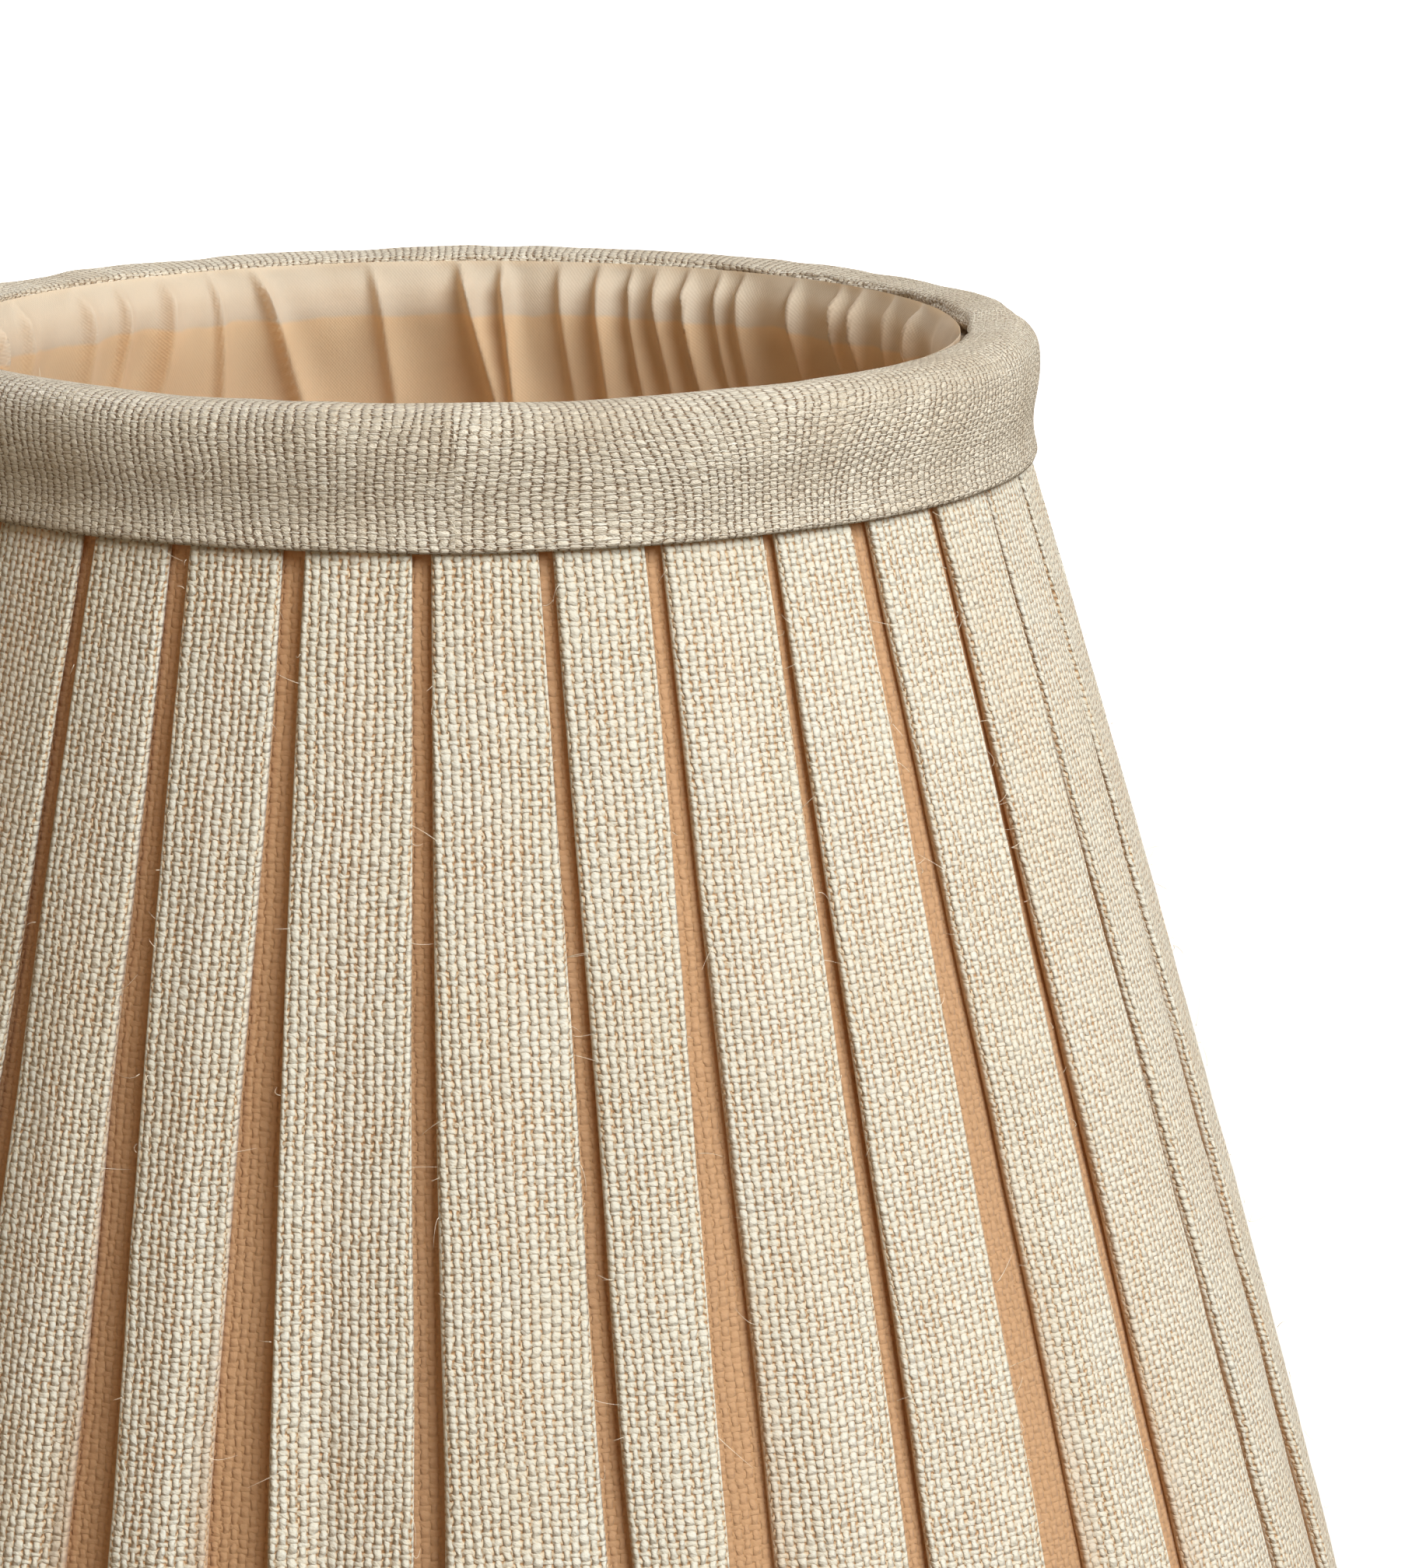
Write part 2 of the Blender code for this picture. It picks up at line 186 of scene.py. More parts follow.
def wovenCloth(name, look):
    # Plain weave on the piece's own map, where one unit is one thread. Each thread is a round section that
    # rises over one neighbour and dips under the next; the higher of warp and weft is what shows. Slow noise
    # lets the threads wander and swell, quick noise makes each crossing a little different.
    material, n, shader = newMaterial(name)
    place = n.node("ShaderNodeUVMap", uv_map="weave")
    part = n.node("ShaderNodeSeparateXYZ")
    n.wire(place.outputs[0], part.inputs[0])
    u0, v0 = part.outputs[0], part.outputs[1]

    def field(x, y, z=0.0, detail=2.0, rough=0.5):
        # noise stretched by x and y, less its middle value
        made = n.noise(n.vector(n.math("MULTIPLY", u0, x), n.math("MULTIPLY", v0, y), z), 1.0, detail, rough)
        return n.math("SUBTRACT", made, 0.5)

    def plus(a, b, factor=1.0):
        return n.math("MULTIPLY_ADD", b, factor, a)

    u = plus(plus(u0, field(0.11, 0.05), look["wander"] * 2), field(0.75, 0.75, 13.0), look["jitter"])
    v = plus(plus(v0, field(0.05, 0.13, 7.0), look["wander"] * 2), field(0.75, 0.75, 17.0), look["jitter"])
    i = n.math("FLOOR", u)
    v = plus(v, n.math("SUBTRACT", n.random(n.vector(i, 3.0, 19.0)), 0.5), look["stagger"])
    j = n.math("FLOOR", v)
    fu = n.math("SUBTRACT", n.math("SUBTRACT", u, i), 0.5)
    fv = n.math("SUBTRACT", n.math("SUBTRACT", v, j), 0.5)
    parity = n.math("MODULO", n.math("ADD", n.math("ABSOLUTE", n.math("ADD", i, j)), 0.25), 2.0)
    sign = n.math("SUBTRACT", 1.0, n.math("MULTIPLY", n.math("GREATER_THAN", parity, 1.0), 2.0))
    # slubs: each thread swells and thins slowly along itself
    alongWarp = n.vector(n.math("MULTIPLY", i, 3.17), n.math("MULTIPLY", v, look["slubWarp"]))
    alongWeft = n.vector(n.math("MULTIPLY", u, look["slubWeft"]), n.math("MULTIPLY", j, 3.71), 4.0)
    slubWarp = n.noise(alongWarp, 1.0, 2.0)
    slubWeft = n.noise(alongWeft, 1.0, 2.0)
    swell = field(0.6, 0.9, 23.0, 1.0)
    swollen = n.math("MULTIPLY", swell, look["swell"])
    widthWarp = n.math("ADD", n.remap(slubWarp, 0.3, 0.7, look["thinWarp"], look["thickWarp"]), swollen)
    widthWeft = n.math("SUBTRACT", n.remap(slubWeft, 0.3, 0.7, look["thinWeft"], look["thickWeft"]), swollen)
    crimp = n.math("ADD", look["crimp"], n.math("MULTIPLY", field(0.8, 0.6, 29.0, 1.0), look["crimpVary"]))

    def section(across, width):
        # a round thread's height at a distance across it: the root of 1 - (2 across / width) squared
        ratio = n.math("DIVIDE", n.math("MULTIPLY", across, 2.0), width)
        left = n.math("SUBTRACT", 1.0, n.math("MULTIPLY", ratio, ratio))
        return n.math("SQRT", n.math("MAXIMUM", left, 0.0))

    def rise(along):
        # up to the crimp over one crossing, down by as much under the next
        wave = n.math("MULTIPLY", sign, n.math("COSINE", n.math("MULTIPLY", along, math.pi)))
        return n.math("MULTIPLY", wave, crimp)

    overWarp = rise(fv)
    overWeft = rise(fu)
    warp = n.math("ADD", n.math("MULTIPLY", section(fu, widthWarp), look["bodyWarp"]), overWarp)
    weft = n.math("SUBTRACT", n.math("MULTIPLY", section(fv, widthWeft), look["bodyWeft"]), overWeft)
    # fibres run round each thread on the slant, as twist leaves them
    slantAcross = n.math("ADD", n.math("MULTIPLY", u, 2.6), n.math("MULTIPLY", v, 1.2))
    slantAlong = n.math("SUBTRACT", n.math("MULTIPLY", v, 4.2), n.math("MULTIPLY", u, 3.0))
    twist = n.noise(n.vector(slantAcross, slantAlong, 5.0), 1.0, 2.5, 0.55)
    isWarp = n.math("GREATER_THAN", warp, weft)
    height = n.math("MAXIMUM", warp, weft)
    beadTone = n.random(n.vector(i, j, 5.0))
    # colour: each thread has its own tone; the low parts of the threads and the hollows between them get
    # painted shade, dark and warm
    shadeWarp = n.random(n.vector(i, n.math("FLOOR", n.math("MULTIPLY", v, 0.045)), 1.0))
    shadeWeft = n.random(n.vector(n.math("FLOOR", n.math("MULTIPLY", u, 0.045)), j, 2.0))
    warpColour = n.mix(n.math("MULTIPLY", shadeWarp, look["threadMix"]), look["light"], look["dull"])
    weftColour = n.mix(n.math("MULTIPLY", shadeWeft, look["threadMix"]), look["lightWeft"], look["dull"])
    colour = n.mix(isWarp, weftColour, warpColour)
    colour = n.mix(n.math("MULTIPLY", beadTone, look["beadMix"]), colour, look["dull"])
    colour = n.mix(n.math("MULTIPLY", n.remap(twist, 0.35, 0.75), look["fibreMix"]), colour, look["bright"])
    patch = n.noise(n.vector(n.math("MULTIPLY", u0, 0.06), n.math("MULTIPLY", v0, 0.03), 3.0), 1.0, 3.0)
    colour = n.mix(n.math("MULTIPLY", n.remap(patch, 0.4, 0.7), look["patchMix"]), colour, look["dull"])
    rough = n.math("ADD", height, n.math("MULTIPLY", n.math("SUBTRACT", twist, 0.5), look["fray"]))
    deep = n.node("ShaderNodeAttribute", attribute_name="deep").outputs["Fac"]
    calm = n.math("SUBTRACT", 1.0, n.math("MULTIPLY", deep, look["deepCalm"]))
    # painted shade: the colour darkens towards the low parts and the hollows of the weave, where the threads
    # would shade each other
    for step in ("low", "hollow"):
        share = n.remap(rough, look[step + "Low"], look[step + "High"], 1.0, 0.0)
        share = n.math("MULTIPLY", n.math("MULTIPLY", share, look[step + "Mix"]), calm)
        colour = n.mix(share, colour, look[step])
    # painted shade: deep in a pleat's fold the colour turns darker and warmer, following the deep attribute
    colour = n.mix(n.math("MULTIPLY", deep, look["deepMix"]), colour, look["deep"])
    bump = n.node("ShaderNodeBump")
    bump.inputs["Strength"].default_value = look["bump"]
    bump.inputs["Distance"].default_value = look["depth"]
    relief = n.math("MULTIPLY", n.math("ADD", height, n.math("MULTIPLY", twist, look["fuzz"])), calm)
    n.wire(relief, bump.inputs["Height"])
    n.wire(bump.outputs[0], shader.inputs["Normal"])
    n.wire(colour, shader.inputs["Base Color"])
    n.wire(n.remap(height, 0.2, 1.0, look["roughLow"], look["roughHigh"]), shader.inputs["Roughness"])
    shader.inputs["Sheen Weight"].default_value = look["sheen"]
    shader.inputs["Sheen Roughness"].default_value = 0.5
    shader.inputs["Specular IOR Level"].default_value = look["specular"]
    through = n.node("ShaderNodeBsdfTranslucent")
    n.wire(n.mix(0.45, colour, look["through"]), through.inputs["Color"])
    n.wire(bump.outputs[0], through.inputs["Normal"])
    blend = n.node("ShaderNodeMixShader")
    blend.inputs[0].default_value = look["throughMix"]
    n.wire(shader.outputs[0], blend.inputs[1])
    n.wire(through.outputs[0], blend.inputs[2])
    out = n.tree.nodes["Material Output"]
    n.wire(blend.outputs[0], out.inputs["Surface"])
    return material


coverLook = dict(
    wander=0.5, jitter=0.55, stagger=0.55, slubWarp=0.09, slubWeft=0.10,
    thinWarp=0.62, thickWarp=0.98, thinWeft=0.62, thickWeft=1.02, swell=0.7,
    crimp=0.34, crimpVary=0.6, bodyWarp=0.80, bodyWeft=0.42, threadMix=0.35, beadMix=0.35,
    fibreMix=0.60, patchMix=0.30, light=(0.85, 0.85, 0.76), lightWeft=(0.85, 0.85, 0.76),
    dull=(0.80, 0.74, 0.58), bright=(0.87, 0.90, 0.84),
    # low, hollow and deep are painted shade colours: for the weave's low parts, its hollows and the pleats'
    # folds
    low=(0.82, 0.62, 0.37), lowLow=0.22, lowHigh=0.70, lowMix=0.75,
    hollow=(0.54, 0.28, 0.12), hollowLow=0.06, hollowHigh=0.38, hollowMix=0.85, fray=0.5,
    deep=(0.57, 0.32, 0.15), deepMix=0.90, deepCalm=0.55, bump=1.0, depth=0.00046, fuzz=0.25,
    roughLow=0.95, roughHigh=0.72,
    sheen=0.2, specular=0.3, through=(1.0, 0.66, 0.36), throughMix=0.24)
bindingLook = dict(
    wander=0.8, jitter=0.65, stagger=0.6, slubWarp=0.05, slubWeft=0.06,
    thinWarp=0.84, thickWarp=1.10, thinWeft=0.22, thickWeft=0.62, swell=0.35,
    crimp=0.22, crimpVary=0.4, bodyWarp=0.66, bodyWeft=0.56, threadMix=0.65, beadMix=0.45,
    fibreMix=0.80, patchMix=0.45, light=(0.80, 0.74, 0.61), lightWeft=(0.95, 0.91, 0.80),
    dull=(0.56, 0.46, 0.33),
    # low and hollow are painted shade colours for the weave's low parts and its hollows
    bright=(0.97, 0.94, 0.85), low=(0.48, 0.35, 0.21), lowLow=0.24, lowHigh=0.60, lowMix=0.80,
    hollow=(0.22, 0.125, 0.06), hollowLow=0.16, hollowHigh=0.44, hollowMix=0.85, fray=0.5,
    deep=(0.4, 0.3, 0.2), deepMix=0.0, deepCalm=0.0, bump=1.0, depth=0.00050, fuzz=0.5,
    roughLow=0.75, roughHigh=0.28,
    sheen=0.1, specular=0.7, through=(0.80, 0.55, 0.30), throughMix=0.04)
coverCloth = wovenCloth("coverLinen", coverLook)
bindingCloth = wovenCloth("bindingLinen", bindingLook)
print("woven cloths ready")


pleats = dict(
    count=32, warpPitch=0.00103, weftPitch=0.00072,
    # where the gaps lie, in degrees, just under the rim and low down, and their half widths there, in mm
    gaps=[(-35.4, -35.0, 0.8, 1.8), (-25.6, -24.3, 1.1, 2.6), (-14.6, -14.3, 1.1, 3.4),
          (-3.0, -2.2, 0.9, 1.4), (8.1, 9.9, 0.7, 1.3), (18.1, 18.0, 0.9, 2.9), (29.8, 29.3, 0.7, 1.5),
          (40.5, 41.2, 1.3, 3.6), (51.4, 52.0, 0.9, 2.4), (62.2, 64.8, 0.5, 1.4)],
    # each face between two of those gaps: how far its left and right edges lie back low down, in mm, the
    # place of its crease across the face and the crease's depth, in mm, and how round its left and right
    # folds are
    faces=[(0.2, 1.3, 0.5, 0.2, 0.30, 0.46), (0.0, 1.3, 0.6, 0.2, 0.28, 0.46),
           (-0.2, 0.2, 0.42, 1.9, 0.28, 0.30), (-0.4, 0.4, 0.5, 0.1, 0.34, 0.28),
           (0.3, 0.0, 0.4, 0.3, 0.36, 0.22), (1.3, -0.1, 0.3, 0.0, 0.48, 0.22),
           (0.5, 0.0, 0.5, 0.3, 0.38, 0.22), (1.2, 0.0, 0.4, 0.1, 0.46, 0.22),
           (1.0, 0.1, 0.5, 0.1, 0.46, 0.26)],
    faceRadius=0.0604, slope=0.2839, bulge=0.0008, start=0.0134,
    depthTop=0.0014, depthMiddle=0.0022, depthLow=0.0022, spareCloth=0.0146)


def faceRadius(down):
    # radius of the pleats' faces at a distance down from the rim's crest: a cone with a slight belly
    along = (down - pleats["start"]) / 0.153
    belly = pleats["bulge"] * np.sin(np.pi * np.clip(along, 0, 1))
    return pleats["faceRadius"] + pleats["slope"] * (down - pleats["start"]) + belly


def buildCover():
    # One row of cloth is a chain of box pleats: floor of a gap, back under the face, out over a rolled fold,
    # across the face and down again. The cloth has the same length in every row, so what widens the
    # faces lower down comes out of the part tucked behind them.
    count = pleats["count"]
    rng = np.random.default_rng(11)
    seen = pleats["gaps"]
    rest = count - len(seen)
    step = (seen[0][0] + 360 - seen[-1][0]) / (rest + 1)
    stepLow = (seen[0][1] + 360 - seen[-1][1]) / (rest + 1)
    gaps = [tuple(g) for g in seen]
    for k in range(rest):
        jog = rng.uniform(-0.09, 0.09) * step
        gaps.append((seen[-1][0] + step * (k + 1) + jog, seen[-1][1] + stepLow * (k + 1) + jog * 1.1,
                     rng.uniform(0.45, 0.95), rng.uniform(0.9, 3.0)))
    gaps.append((gaps[0][0] + 360, gaps[0][1] + 360, gaps[0][2], gaps[0][3]))
    gaps = np.array(gaps)
    # the faces that aren't listed get shapes of the same kinds, from the same seeded numbers each time
    shapes = list(pleats["faces"])
    while len(shapes) < count:
        shapes.append((rng.uniform(-0.2, 1.0), rng.uniform(-0.1, 0.7), rng.uniform(0.3, 0.7),
                       rng.uniform(0, 1.0) ** 2, rng.uniform(0.26, 0.45), rng.uniform(0.22, 0.42)))
    shapes = np.array(shapes)
    rows = 190
    down = np.linspace(0.0070, 0.1735, rows)      # from under the top binding to under the bottom one
    share = smooth(down, pleats["start"], 0.125)[:, None]
    linear = np.clip((down - pleats["start"]) / 0.11, 0, 1.5)[:, None]
    face = faceRadius(np.maximum(down, pleats["start"]))[:, None]
    tuck = smooth(down, 0.0070, 0.0150)[:, None]                  # pressed flatter under the bindings
    tuckLow = 1 - smooth(down, 0.160, 0.1735)[:, None]
    face = face - 0.0010 * (1 - tuck) - 0.0004 * (1 - tuckLow)
    index = np.arange(count + 1)[None, :]
    gapIndex, gapDown = index + 0 * down[:, None], down[:, None] + 0 * index
    sway = softNoise(5, gapIndex, gapDown, 1.0, 0.034, period=count)
    breathe = softNoise(6, gapIndex, gapDown, 1.0, 0.022, period=count)
    centre = np.radians(gaps[:, 0] + (gaps[:, 1] - gaps[:, 0]) * np.clip(linear, 0, 1))
    centre = centre + sway * 0.0004 * linear / face
    half = (gaps[:, 2] + (gaps[:, 3] - gaps[:, 2]) * share) * 0.001
    half = half * (1 + 0.12 * breathe * share)
    depth = pleats["depthTop"] + (pleats["depthMiddle"] - pleats["depthTop"]) * smooth(down, 0.0134, 0.075)
    depth = (depth - (pleats["depthMiddle"] - pleats["depthLow"]) * smooth(down, 0.12, 0.170))[:, None]
    depth = depth * (0.80 + 0.20 * tuck)
    left, right = centre[:, :-1], centre[:, 1:]                 # gap centres either side of each face
    halfFace = (right - left) * face / 2                        # metres, at the face
    floorColumns, turnColumns, foldColumns, faceColumns = 4, 5, 7, 9

    def halfSection(gapHalf, toCentre, proud, roundness):
        # distances from the gap's centre and heights from the face, column by column, up to the face's centre
        d = depth + proud
        r2 = d * roundness
        r1 = d * 0.5 - r2
        tucked = (pleats["spareCloth"] - toCentre - math.pi * (r1 + r2) + r2) / 2
        tucked = np.clip(tucked, 0.0004, toCentre - gapHalf - r1 * 1.5)
        a, h = [], []
        for t in np.linspace(0, 1, floorColumns):
            a.append(t * (gapHalf + tucked))
            h.append(proud - d)
        for t in np.linspace(0, 1, turnColumns + 1)[1:]:
            turn = -math.pi / 2 + math.pi * t
            a.append(gapHalf + tucked + r1 * np.cos(turn))
            h.append(proud - d + r1 + r1 * np.sin(turn))
        for t in np.linspace(0, 1, foldColumns + 1):
            turn = -math.pi / 2 - math.pi * t
            a.append(gapHalf + r2 + r2 * np.cos(turn))
            h.append(proud - r2 + r2 * np.sin(turn))
        for t in np.linspace(0, 1, faceColumns + 1)[1:]:
            ease = t ** 1.25
            a.append(gapHalf + r2 + (toCentre - gapHalf - r2) * ease)
            h.append(proud * (1 - smooth(ease, 0, 1)))
        return np.stack(a, -1), np.stack(h, -1)

    # each face leans a little: one edge stands proud of the other, more so low down
    lean = softNoise(8, gapIndex[:, :-1], gapDown[:, :-1], 1.0, 0.06, period=count)
    proudLeft = (-0.001 * shapes[:, 0] + 0.0002 * lean) * share
    proudRight = (-0.001 * shapes[:, 1] - 0.0002 * lean) * share
    aL, hL = halfSection(half[:, :-1], halfFace, proudLeft, shapes[:, 4])
    aR, hR = halfSection(half[:, 1:], halfFace, proudRight, shapes[:, 5])

    # cloth length along each half, so that threads stay where they are in the cloth
    def lengths(a, h):
        run = np.cumsum(np.hypot(np.diff(a, axis=-1), np.diff(h, axis=-1)), -1)
        run = np.concatenate([0 * run[..., :1], run], -1)
        return run, run[..., -1:]

    sL, totalL = lengths(aL, hL)
    sR, totalR = lengths(aR, hR)
    clothHalf = pleats["spareCloth"] + 0.0012
    k = np.arange(count)[None, :, None]
    uL = 2 * k * clothHalf + clothHalf - (totalL - sL) * (clothHalf / totalL)
    uR = 2 * k * clothHalf + clothHalf + (totalR - sR) * (clothHalf / totalR)
    # how far each point lies into its fold, which the cover's cloth uses to paint shade in the gaps
    deepL, deepR = (np.clip(smooth(-h / depth[..., None], 0.25, 0.90), 0, 1) for h in (hL, hR))
    # crown of the face and soft creases across it
    crownL = np.clip((aL - half[:, :-1, None]) / (halfFace - half[:, :-1])[..., None], 0, 1)
    crownR = np.clip((aR - half[:, 1:, None]) / (halfFace - half[:, 1:])[..., None], 0, 1)
    onFaceL = np.arange(aL.shape[-1]) >= floorColumns + turnColumns + foldColumns - 1
    belly = 0.00040 * share[..., None]
    place = shapes[:, 2][None, :, None]
    creased = 0.001 * shapes[:, 3][None, :, None] * share[..., None]

    def vee(t):
        # 0 at both edges of the face, 1 at the crease
        return np.where(t < place, t / place, (1 - t) / (1 - place))

    hL = hL + onFaceL * (belly * np.sin(np.pi / 2 * crownL) - creased * vee(crownL / 2))
    hR = hR + onFaceL * (belly * np.sin(np.pi / 2 * crownR) - creased * vee(1 - crownR / 2))
    angleL = left[..., None] + aL / face[..., None]
    angleR = right[..., None] - aR / face[..., None]
    radiusL, radiusR = face[..., None] + hL, face[..., None] + hR
    # a face is its left half followed by its right half the other way round, sharing the centre column
    angle = np.concatenate([angleL, angleR[..., -2:0:-1]], -1)
    radius = np.concatenate([radiusL, radiusR[..., -2:0:-1]], -1)
    u = np.concatenate([uL, uR[..., -2:0:-1]], -1)
    deep = np.concatenate([deepL, deepR[..., -2:0:-1]], -1).reshape(rows, -1)
    deep = np.concatenate([deep, deep[:, :1]], 1)
    columns = angle.shape[-1]
    angle, radius, u = (x.reshape(rows, count * columns) for x in (angle, radius, u))
    angle = np.concatenate([angle, angle[:, :1] + 2 * math.pi], 1)
    radius = np.concatenate([radius, radius[:, :1]], 1)
    u = np.concatenate([u, u[:, :1] + 2 * count * clothHalf], 1)
    z = rimTop - down[:, None]
    ripple = softNoise(9, u, down[:, None] + 0 * u, 0.004, 0.012) * 0.00010
    ripple = ripple + softNoise(12, u, down[:, None] + 0 * u, 0.0015, 0.003) * 0.00005
    radius = radius + ripple * smooth(down, 0.012, 0.03)[:, None]
    points = around(radius, angle, z)
    slant = down * math.sqrt(1 + pleats["slope"] ** 2)
    uv = np.stack([u / pleats["warpPitch"], (slant / pleats["weftPitch"])[:, None] + 0 * u], -1)
    quarter = count * columns // 4
    for q in range(4):
        cut = slice(q * quarter, (q + 1) * quarter + 1)
        piece = gridPiece(f"cover_cloth_{q + 1}", points[:, cut], uv[:, cut], coverCloth,
                          flip=True, deep=deep[:, cut])
        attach(piece, "shade")
        if q == 0:
            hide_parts("pleated_cover")
    # where the folds' crests run, for the stray fibres: each gap's centre and half width in radians, row by
    # row, and the faces' radius
    return down, centre, half / face, face[:, 0]


coverCrests = buildCover()
print("cover built")


binding = dict(
    pitchAround=0.00094, pitchAcross=0.00043, columns=720, skew=0.0022,
    # distance from the axis and height from the crest, in mm, from the inner edge over the rim to the hem
    topProfile=[(57.0, -4.0), (55.2, -2.6), (54.3, -1.5), (54.0, -0.9), (54.3, -0.4), (55.0, -0.25),
                (56.2, -0.1), (57.6, 0.0), (58.8, -0.15), (59.9, -0.75), (60.7, -1.8), (61.15, -3.3),
                (61.3, -5.0), (61.2, -6.8), (60.95, -8.6), (60.9, -10.4), (61.1, -12.0), (61.35, -13.0),
                (61.3, -13.45), (60.95, -13.5), (60.75, -13.1), (60.6, -12.0), (60.3, -10.0), (59.9, -7.0)],
    # the same at the bottom rim, with heights from the table
    bottomProfile=[(104.2, 4.2), (102.6, 2.6), (101.9, 1.5), (101.6, 0.9), (101.9, 0.4), (102.6, 0.2),
                   (104.0, 0.05), (105.6, 0.0), (107.0, 0.2), (108.1, 0.9), (108.75, 2.0), (108.9, 3.4),
                   (108.5, 5.2), (107.7, 7.2), (106.8, 9.2), (105.9, 11.4), (105.4, 12.9), (105.2, 13.4),
                   (104.95, 13.5), (104.65, 13.2), (104.6, 12.2), (105.0, 10.0), (105.7, 7.0)])


def smoothLine(points, count):
    # Catmull-Rom curve through the points, then spaced evenly along its length
    p = np.array(points, float)
    p = np.concatenate([2 * p[:1] - p[1:2], p, 2 * p[-1:] - p[-2:-1]])
    t = np.linspace(0, 1, 12, endpoint=False)[:, None]
    pieces = []
    for a, b, c, d in zip(p[:-3], p[1:-2], p[2:-1], p[3:]):
        bend, twist = 2 * a - 5 * b + 4 * c - d, 3 * b - a - 3 * c + d
        pieces.append(0.5 * (2 * b + (c - a) * t + bend * t ** 2 + twist * t ** 3))
    line = np.concatenate([*pieces, p[-2:-1]])
    run = np.concatenate([[0], np.cumsum(np.hypot(*np.diff(line, axis=0).T))])
    even = np.linspace(0, run[-1], count)
    return np.stack([np.interp(even, run, line[:, 0]), np.interp(even, run, line[:, 1])], -1), even


edgeRoll = dict(radius=0.00052, at=0.0545, drop=0.0012, wave=0.00045)


def buildEdgeRoll():
    # the binding's turned-in edge, a thin soft roll just inside the rim: a tube along a slightly wavy ring
    turn = np.linspace(0, 2 * math.pi, 721)[None, :]
    roll = np.linspace(0, 2 * math.pi, 9)[:, None]
    arcs = turn * edgeRoll["at"]
    period = 60
    cell = 2 * math.pi * edgeRoll["at"] / period
    wave = softNoise(51, arcs, 0 * arcs, cell, 1.0, period=period)
    wave2 = softNoise(52, arcs, 0 * arcs, cell, 1.0, period=period)
    swell = softNoise(53, arcs, 0 * arcs, cell / 3, 1.0, period=period * 3)
    r = edgeRoll["radius"] * (1 + 0.30 * swell)
    radius = edgeRoll["at"] + edgeRoll["wave"] * wave + r * np.cos(roll)
    z = rimTop - edgeRoll["drop"] + edgeRoll["wave"] * 0.7 * wave2 + r * np.sin(roll)
    points = around(radius, turn + 0 * roll, z)
    uv = np.stack([arcs / binding["pitchAround"] + 0 * roll,
                   roll * edgeRoll["radius"] / binding["pitchAcross"] + 0 * arcs], -1)
    piece = gridPiece("binding_edge_roll", points[:-1, :-1], uv, bindingCloth, closed=True, loop=True)
    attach(piece, "shade")
    return piece


def buildBinding(name, profile, base, seed, node, upsideDown=False, extras=()):
    # the profile carried round the rim, with slow ripples where the folded strip eases round the wire
    line, run = smoothLine(np.array(profile) * 0.001, 64)
    cols = binding["columns"]
    angle = np.linspace(0, 2 * math.pi, cols + 1)[None, :]
    r, z = line[:, :1], line[:, 1:] + base
    radiusMean = float(line[:, 0].mean())
    arcs = angle * radiusMean
    cells = 2 * round(2 * math.pi * radiusMean / 0.022)
    cellSize = 2 * math.pi * radiusMean / cells
    fine = round(2 * math.pi * radiusMean / 0.0042)
    fineSize = 2 * math.pi * radiusMean / fine
    across = run[:, None] / run[-1]
    runGrid, arcGrid = run[:, None] + 0 * arcs, arcs + 0 * r
    slow = softNoise(seed, arcGrid, runGrid, cellSize, 0.008, period=cells)
    quick = softNoise(seed + 1, arcGrid, runGrid, fineSize, 0.004, period=fine)
    rimPart = np.exp(-((across - 0.30) / 0.16) ** 2)
    edgePart = np.exp(-((across - 0.10) / 0.06) ** 2)
    hem = smooth(across, 0.70, 0.80)
    r = r + slow * 0.00040 * rimPart + quick * 0.00018 * rimPart + quick * 0.00034 * edgePart + slow * 0.00016
    lift = (slow * 0.00034 + quick * 0.00010) * rimPart + quick * 0.00030 * edgePart + slow * 0.00020 * hem
    if upsideDown:
        lift = np.maximum(lift, 0) * 0.5                          # never below the table
    points = around(r, angle + 0 * r, z + lift)
    skew = binding["skew"] * softNoise(seed + 2, arcGrid, runGrid, cellSize * 2, 0.012, period=cells // 2)
    uv = np.stack([(arcs + skew) / binding["pitchAround"], runGrid / binding["pitchAcross"]], -1)
    piece = gridPiece(name, points[:, :-1], uv, bindingCloth, closed=True, flip=not upsideDown)
    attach(piece, "shade")
    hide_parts(node)


buildBinding("binding_top", binding["topProfile"], rimTop, 21, "top_binding",
             extras=[buildEdgeRoll()])
buildBinding("binding_bottom", binding["bottomProfile"], 0.0, 31, "bottom_binding",
             upsideDown=True)
print("bindings built")


